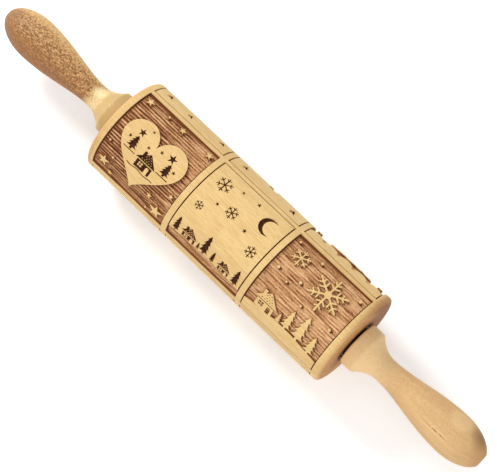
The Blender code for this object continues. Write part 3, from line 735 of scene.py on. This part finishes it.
def rollerMaterial():
    look, colours = Look("embossedBeech"), rollerLook
    place = look.place
    along, y, z = look.split(place)
    front, reach = 0 - y, abs(along)
    radius = look.node("Math", {"operation": "SQRT"}, {0: y * y + z * z})
    depth = (rollerRadius - radius) * 1000  # in millimetres
    fine, streak, broad, fleck, grit, pores = (look.noise(place, *kind)
                                               for kind in colours["grain"].values())

    def fade(value, name):
        low, high, *share = colours["fades"][name]
        return look.step(value, low, high) * share[0] if share else look.step(value, low, high)

    # sanded top: pale, with faint lines and short flecks
    flush = look.mix(fade(broad * 0.3 + fine * 0.7, "topDark"), colours["top"], colours["topDark"])
    flush = look.mix(fade(fleck, "fleck"), flush, colours["fleck"])
    # burnt ground: lines left by the cutter along the pin, and grain. Painted shade darkens it along the left
    # end of the carving and round the heart, where the cutter lines also show more; painted shade with burn
    # darkens it a little towards the front; it is lighter towards the front of the right end
    turn = look.node("Math", {"operation": "ARCTAN2"}, {0: y, 1: z})
    passes = look.node("Math", {"operation": "SINE"}, {0: turn * colours["passes"] + broad * 9 + streak * 3})
    bottom = fade(front, "bottom")
    left = (1 - fade(along, "left")) * (0.65 + 0.35 * fade(front, "leftFront")) * (1 - bottom * 0.8)
    # painted shadow round the heart, fading towards the back and the bottom
    angle = rollerSize["frontAngle"]
    heartGap = look.gap((-columnPitch, -rollerRadius * sin(angle), rollerRadius * cos(angle)))
    heartShadow = (1 - fade(heartGap + (broad - 0.5) * 0.012, "heart")) * (1 - bottom) * fade(front, "heartFront")
    left = left + heartShadow * (1 - left) * 0.6
    shade = streak * 0.42 + fine * 0.28 + grit * 0.17 + broad * 0.13 + passes * (0.035 + left * 0.045)
    shade = shade - left * 0.08 - bottom * 0.012
    shade = shade + fade(along, "right") * fade(front, "rightFront") * (1 - bottom) * 0.03
    low = look.node("ValToRGB", {"stops": colours["ground"]}, {0: shade})
    # painted shadow with burn: the ground darkens at the foot of walls on their +X and front sides
    burnAndShade = look.node("Attribute", {"attribute_name": "burnShadow"}, output=2)
    low = look.mix(fade(burnAndShade + (fine - 0.5) * 0.4, "burnAndShade"), low, colours["burnAndShade"])
    # marks and lines are burnt dark, walls are brown
    scorch = look.mix(fade(fine, "markPale"), colours["mark"], colours["markPale"])
    _, facingY, facingZ = look.split(look.node("TexCoord", output=1))
    outwards = (facingY * y + facingZ * z) / radius
    dark = fade(depth, "mark") * (1 - fade(depth, "wall")) * fade(outwards, "facing")
    carved = look.mix(fade(depth, "ground"), colours["wall"], low)
    carved = look.mix(dark, carved, scorch)
    shoulder = fade(reach, "shoulder")
    below = fade(depth, "below") * (1 - shoulder)
    wood = look.mix(below, flush, carved)
    # end grain on the end faces, coming in over the shoulders
    wood = look.mix(fade(reach, "tan"), wood, colours["endPale"])
    rim = fade(along, "rim") * fade(y, "rimRight") + fade(0 - along, "rim") * fade(front, "rimLeft")
    wood = look.mix(rim, wood, colours["rim"])
    endShare = shoulder * (1 - fade(radius, "endRim"))
    centred = look.vector("ADD", place, colours["ringMiddle"])
    rings = look.node("TexWave", {"wave_type": "RINGS", "rings_direction": "X"},
                      {"Vector": centred, "Scale": colours["ringScale"], "Distortion": 1.4, "Detail": 2.0,
                       "Detail Scale": 3.0}, 1)
    endWood = look.mix(fade(rings * 0.22 + pores * 0.78, "endGrain"), colours["endDark"], colours["endPale"])
    # painted shade: the end face darkens towards the bore, round the gap by the collar; it is also darker
    # towards +Y
    inner = 1 - fade(radius + (broad - 0.5) * 0.006, "boreShade")
    far = fade(y + (broad - 0.5) * 0.01, "endFar")
    endWood = look.mix(0.25 + inner * 0.6 + far * (0.75 - inner * 0.6) * 0.9, endWood, colours["endShade"])
    wood = look.mix(endShare, wood, endWood)
    # painted shade: the end face darkens round the collar, in the gap's shadow
    wood = look.mix((1 - fade(radius, "collar")) * shoulder * 0.85, wood, colours["burnAndShade"])
    height = fine * (0.35 + below * 0.9) + streak * below * 0.9 + passes * below * 0.25
    height = height + pores * endShare * 0.6
    return look.finish(Base_Color=wood, Roughness=0.52 + below * 0.22 + broad * 0.08, Specular_IOR_Level=0.2,
                       Normal=look.bump(height, 0.4, 0.0003))


rollerMesh = bmesh.new()
burnShadowLayer = rollerMesh.verts.layers.float.new("burnShadow")
startAngle = rollerSize["frontAngle"] - pi / 3
for row, rowPanels in enumerate(panels):
    for column, panel in enumerate(rowPanels):
        edge = rollerHalf - rollerSize["shoulderLength"] - columnPitch  # from the middle of an outer panel
        left = -edge if column == 0 else -columnPitch / 2
        right = edge if column == 2 else columnPitch / 2
        carvedCell(rollerMesh, burnShadowLayer, panel(), (column - 1) * columnPitch,
                   rollerSize["frontAngle"] + row * 2 * pi / 3, left, right)
for side in (-1, 1):
    turned(rollerMesh, rollerEnd(side), rollerSize["stepsRound"], startAngle)
rollerPiece = closeMesh("rollerBeech", rollerMesh, rollerMaterial())
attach(rollerPiece, "roller")
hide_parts("roller")
print("roller:", len(rollerPiece.data.polygons), "faces")


# Handles
handleSize = {
    "length": 0.091, "start": 0.09015, "collar": 0.0135, "collarLength": 0.0078, "chamfer": 0.0004,
    "neck": 0.0072, "neckPlace": 0.0215, "belly": 0.0127, "bellyShare": 0.77, "flat": 0.0033,
    "endRound": 1.05, "endSteps": 18, "ease": (0.29, 0.40), "bellySteps": 28, "covePower": 2.2,
    "coveSteps": 14, "bore": 0.0043, "boreEnd": 0.14045, "steps": 96,
}


def handleProfile():
    size = handleSize
    start, thick, thin, collar = (size[name] for name in ("start", "belly", "neck", "collar"))
    end = start + size["length"]
    belly = start + size["length"] * size["bellyShare"]
    neck = start + size["neckPlace"]
    edge = start + size["collarLength"]
    points = [(end, 0), (end, size["flat"])]
    for i in range(1, size["endSteps"]):
        reach = (end - belly) * (1 - (i / size["endSteps"]) ** 2)
        points.append((belly + reach, thick * sqrt(1 - (reach / ((end - belly) * size["endRound"])) ** 2)))
    first, last = size["ease"]
    for i in range(size["bellySteps"], -1, -1):
        t = i / size["bellySteps"]
        share = 3 * (1 - t) ** 2 * t * first + 3 * (1 - t) * t ** 2 * (1 - last) + t ** 3
        rise = 3 * (1 - t) * t ** 2 + t ** 3
        points.append((neck + (belly - neck) * share, thin + (thick - thin) * rise))
    for i in range(1, size["coveSteps"] + 1):
        share = i / size["coveSteps"]
        points.append((neck - (neck - edge) * share, thin + (collar - thin) * share ** size["covePower"]))
    chamfer = size["chamfer"]
    soft = chamfer * 2  # keeps the shading of the collar flat
    points += [(edge - soft, collar), (start + chamfer + soft, collar), (start + chamfer, collar),
               (start, collar - chamfer), (start, size["bore"]), (size["boreEnd"], size["bore"]),
               (size["boreEnd"], 0)]
    return points


# a flank is a share of Y and of Z, where its tone comes in, colour and share; a patch has a middle instead
# on the handles, the neck colour is a painted highlight, the right handle's darker +Y flank is painted shade,
# and the pale patches on the right belly and by the left neck are painted highlights
handleLooks = {
    "right": {
        "pale": rgb(228, 186, 130), "mid": rgb(216, 173, 118), "dark": rgb(188, 144, 92),
        "fleck": rgb(190, 146, 94), "grit": 0.22, "speck": 0.25,
        "neck": rgb(246, 208, 152), "neckHighlightEdge": (0.104, 0.126), "neckHighlightShare": 0.9,
        "flanks": ((1, 0.0, (0.0, 0.008), rgb(206, 162, 108), 0.3),),
        "patches": (((0.175, 0.009, 0.006), (0.001, 0.0105), rgb(134, 86, 48), 0.8),
                    ((0.16, 0.0076, 0.0101), (0.003, 0.008), rgb(240, 204, 148), 0.5),
                    ((0.185, 0.0, 0.0), (0.006, 0.018), rgb(192, 144, 94), 0.8)),
        "crease": (0.139, 0.162), "creasePale": rgb(242, 204, 148), "creaseDark": rgb(150, 106, 60),
    },
    "left": {
        "pale": rgb(200, 154, 98), "mid": rgb(170, 122, 70), "dark": rgb(124, 76, 36),
        "fleck": rgb(220, 174, 116), "grit": 0.85, "speck": 0.85,
        "neck": rgb(242, 211, 151), "neckHighlightEdge": (0.107, 0.1135), "neckHighlightShare": 1.0,
        "flanks": ((-1, -0.35, (-0.008, 0.008), rgb(152, 96, 48), 0.85),
                   (1, 0.0, (0.0, 0.008), rgb(234, 190, 126), 0.9)),
        "patches": (((-0.176, -0.006, 0.0), (0.004, 0.018), rgb(152, 106, 66), 0.7),
                    ((-0.091, 0.0, 0.0), (0.0138, 0.0165), rgb(206, 172, 112), 0.9),
                    ((-0.1085, 0.002, 0.0075), (0.001, 0.0045), rgb(255, 236, 180), 0.5)),
        "crease": None,
    },
}


def handleMaterial(side, colours):
    look = Look(f"handleBeech{side.capitalize()}")
    along, y, z = look.split(look.place)
    reach = abs(along)
    bend = look.noise(look.place, (14, 14, 14), 1.0)
    sway = (0.0, 0.004, 0.004)
    shifted = look.node("VectorMath", {"operation": "MULTIPLY_ADD"}, {0: bend, 1: sway, 2: look.place})
    grain = look.noise(shifted, (16, 420, 420), 4.0, 0.6)
    broad = look.noise(shifted, (7, 60, 60), 2.0)
    fleck = look.noise(shifted, (540, 1450, 1450), 1.0)
    fine = look.noise(shifted, (1000, 620, 620), 2.0, 0.6)
    drift = (broad - 0.5) * 0.01  # makes the borders of tones uneven
    wood = look.mix(look.step(grain * 0.6 + broad * 0.4, 0.36, 0.66), colours["mid"], colours["pale"])
    wood = look.mix(look.step(broad, 0.50, 0.75) * 0.35, wood, colours["dark"])
    # flanks: one side darker or lighter; the right handle's darker +Y side is painted shade
    for shareY, shareZ, edge, colour, share in colours["flanks"]:
        wood = look.mix(look.step(y * shareY + z * shareZ + drift, *edge) * share, wood, colour)
    # painted highlight: the neck and collar are paler where light falls on them
    neckHighlightShare = (1 - look.step(reach + y * 0.25 + drift * 1.2, *colours["neckHighlightEdge"])) * colours["neckHighlightShare"]
    wood = look.mix(neckHighlightShare, wood, colours["neck"])
    # specks, fewer on the neck and on the flanks
    speckled = (1 - neckHighlightShare * 0.6) * (1 - look.step(abs(y + drift * 0.6), 0.003, 0.010) * 0.65)
    wood = look.mix(look.step(fine, 0.44, 0.58) * speckled * colours["grit"], wood, colours["dark"])
    wood = look.mix(look.step(fleck, 0.54, 0.63) * speckled * colours["speck"], wood, colours["fleck"])
    # patches: darker and paler spots; the pale ones on the right belly and by the left neck are painted
    # highlights
    for middle, edge, colour, share in colours["patches"]:
        wood = look.mix((1 - look.step(look.gap(middle) + drift, *edge)) * share, wood, colour)
    if colours["crease"]:  # a thin dark crease along the belly, with a pale band beside it
        first, last = colours["crease"]
        across = abs(y * 0.8 + z * 0.6 + (bend - 0.5) * 0.004)
        ends = look.step(reach, first, first + 0.012) * (1 - look.step(reach, last - 0.004, last))
        length = look.step(z, 0.0, 0.004) * ends
        wood = look.mix((1 - look.step(across, 0.0004, 0.0024)) * length * 0.45, wood, colours["creasePale"])
        crease = (1 - look.step(across + (fine - 0.5) * 0.002, 0.0001, 0.0007)) * length
        broken = look.step(fleck + broad * 0.4, 0.60, 0.76) * 0.9
        wood = look.mix(crease * broken, wood, colours["creaseDark"])
    bump = look.bump(fine * 0.5 + grain * 0.3 + fleck * 0.4, 0.35, 0.00025)
    return look.finish(Base_Color=wood, Roughness=0.56 + broad * 0.12 + fine * 0.06, Normal=bump)


for side, sign in (("right", 1), ("left", -1)):
    handleMesh = bmesh.new()
    turned(handleMesh, [(sign * along, radius) for along, radius in handleProfile()], handleSize["steps"])
    beech = handleMaterial(side, handleLooks[side])
    handle = closeMesh(f"handle{side.capitalize()}", handleMesh, beech, sharp=0.8)
    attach(handle, "handles")
    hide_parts(f"handle_{side}")
print("handles done")


# Rod, bushes and thrust washers, turned finer than the frame's
insideSize = {
    "rod": 0.004, "rodHalf": 0.14015, "rodChamfer": 0.0005, "bushBore": 0.0043, "bush": 0.008,
    "flange": 0.011, "flangeThick": 0.002, "bushLength": 0.018, "recess": 0.0005, "washer": 0.01,
    "washerThick": 0.0012, "washerTop": 0.08985, "edge": 0.0002, "steps": 72,
}


def steelMaterial():
    look = Look("darkSteel")
    rings = look.noise(look.place, (5200, 60, 60))
    cloud = look.noise(look.place, (120, 120, 120))
    # dark brown steel: its own oxide, made darker still as painted shade for the gap by the collar
    dark, pale = rgb(42, 32, 24), rgb(60, 50, 42)
    colour = look.mix(look.step(rings * 0.5 + cloud * 0.5, 0.35, 0.65), dark, pale)
    return look.finish(Base_Color=colour, Metallic=1.0, Roughness=0.42 + cloud * 0.16,
                       Normal=look.bump(rings, 0.2, 0.0001))


def nylonMaterial():
    look = Look("whiteNylon")
    cloud = look.noise(look.place, (160, 160, 160), 3.0)
    grit = look.noise(look.place, (2600, 2600, 2600))
    dark, pale = rgb(226, 224, 214), rgb(240, 238, 230)
    colour = look.mix(look.step(cloud, 0.35, 0.65), dark, pale)
    return look.finish(Base_Color=colour, Roughness=0.36 + grit * 0.1, Normal=look.bump(grit, 0.15, 0.0001))


def insidePiece(name, node, profile, look, body, sign=0):  # with a sign, a ring on that side
    mesh = bmesh.new()
    if sign:
        profile = [(sign * along, radius) for along, radius in profile + profile[:1]]
    turned(mesh, profile, insideSize["steps"])
    made = closeMesh(name, mesh, look)
    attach(made, body)
    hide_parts(node)


size = insideSize
steel, nylon = steelMaterial(), nylonMaterial()
rodHalf, chamfer = size["rodHalf"], size["rodChamfer"]
rodShape = [(rodHalf, 0), (rodHalf, size["rod"] - chamfer), (rodHalf - chamfer, size["rod"])]
rodShape += [(-along, radius) for along, radius in reversed(rodShape)]
insidePiece("axleRod", "axle_rod", rodShape, steel, "handles")
for side, sign in (("right", 1), ("left", -1)):
    outer, edge = rollerHalf - size["recess"], size["edge"]
    under, inner = outer - size["flangeThick"], outer - size["bushLength"]
    bush = [(outer, size["flange"] - edge), (outer - edge, size["flange"]), (under + edge, size["flange"]),
            (under, size["flange"] - edge), (under, size["bush"]), (inner + edge, size["bush"]),
            (inner, size["bush"] - edge), (inner, size["bushBore"] + edge), (inner + edge, size["bushBore"]),
            (outer - edge, size["bushBore"]), (outer, size["bushBore"] + edge)]
    insidePiece(f"bush{side.capitalize()}", f"bush_{side}", bush, nylon, "roller", sign)
    outer = size["washerTop"]
    inner = outer - size["washerThick"]
    washer = [(outer, size["washer"] - edge), (outer - edge, size["washer"]), (inner + edge, size["washer"]),
              (inner, size["washer"] - edge), (inner, size["bushBore"]), (outer, size["bushBore"])]
    insidePiece(f"thrustWasher{side.capitalize()}", f"thrust_washer_{side}", washer, steel, "handles",
                sign)
print("rod, bushes and washers done")


# Floor, light and camera
stageSize = {"floor": 6.0, "glow": 0.26, "farGlow": 0.5, "glowEdge": (0.35, 0.9), "ambient": 0.55}


def floorPiece():
    mesh = bmesh.new()
    bmesh.ops.create_grid(mesh, x_segments=1, y_segments=1, size=stageSize["floor"] / 2)
    look = Look("paleFloor")  # glows to the eye but not as a lamp, more far away, to stay white
    camera = look.node("LightPath")
    rays = camera.socket.node.outputs
    seen = camera.math("MAXIMUM", camera, Field(look, rays["Is Glossy Ray"]))
    seen = camera.math("MAXIMUM", seen, Field(look, rays["Is Transmission Ray"]))
    reach = look.node("VectorMath", {"operation": "LENGTH"}, {0: look.place}, 1)
    glow = stageSize["glow"] + look.step(reach, *stageSize["glowEdge"]) * stageSize["farGlow"]
    shine = look.mix(seen * glow, (0, 0, 0, 1), (1, 1, 1, 1))
    look.finish(Base_Color=rgb(246, 246, 246), Roughness=0.9, Emission_Color=shine, Emission_Strength=1.0)
    made = closeMesh("floor", mesh, look.material)
    made.location.z = cadLow.z


def lamp(name, place, target, size, power):
    light = bpy.data.lights.new(name, "AREA")
    light.size = size
    light.energy = power
    made = bpy.data.objects.new(name, light)
    made.location = place
    made.rotation_euler = (Vector(target) - Vector(place)).to_track_quat("-Z", "Y").to_euler()
    scene.collection.objects.link(made)


lamps = {
    "keyLamp": {"place": (-1.1, 0.2, 0.9), "target": (0, 0, 0), "size": 0.45, "power": 12},
    "fillLamp": {"place": (0.5, -1.2, 0.9), "target": (0, 0, 0), "size": 1.2, "power": 6},
    "endLamp": {"place": (0.8, -0.3, 1.0), "target": (0.05, 0, 0), "size": 0.8, "power": 2.5},
}
floorPiece()
for name, setting in lamps.items():
    lamp(name, **setting)

# even light from all round, white where the camera sees it
world = bpy.data.worlds.new("softRoom")
world.use_nodes = True
scene.world = world
nodes, links = world.node_tree.nodes, world.node_tree.links
ray = nodes.new("ShaderNodeLightPath")
tint = nodes.new("ShaderNodeMix")
tint.data_type = "RGBA"
tint.inputs[6].default_value = (stageSize["ambient"],) * 3 + (1,)
tint.inputs[7].default_value = (1, 1, 1, 1)
seen = nodes.new("ShaderNodeMath")
seen.operation = "MAXIMUM"
links.new(ray.outputs["Is Camera Ray"], seen.inputs[0])
links.new(ray.outputs["Is Transmission Ray"], seen.inputs[1])
links.new(seen.outputs[0], tint.inputs[0])
links.new(tint.outputs[2], nodes["Background"].inputs["Color"])

cameraSize = {"azimuth": radians(44.7), "elevation": radians(73.3), "distance": 1.10, "lens": 145.9,
              "aim": (0.0063, 0.0017, 0.0)}
azimuth, elevation = cameraSize["azimuth"], cameraSize["elevation"]
away = Vector((sin(azimuth) * cos(elevation), -cos(azimuth) * cos(elevation), sin(elevation)))
camera = bpy.data.objects.new("camera", bpy.data.cameras.new("camera"))  # at the photograph's angle
camera.data.lens = cameraSize["lens"]
camera.location = Vector(cameraSize["aim"]) + away * cameraSize["distance"]
camera.rotation_euler = (-away).to_track_quat("-Z", "Y").to_euler()
scene.collection.objects.link(camera)
scene.camera = camera
print("stage done")
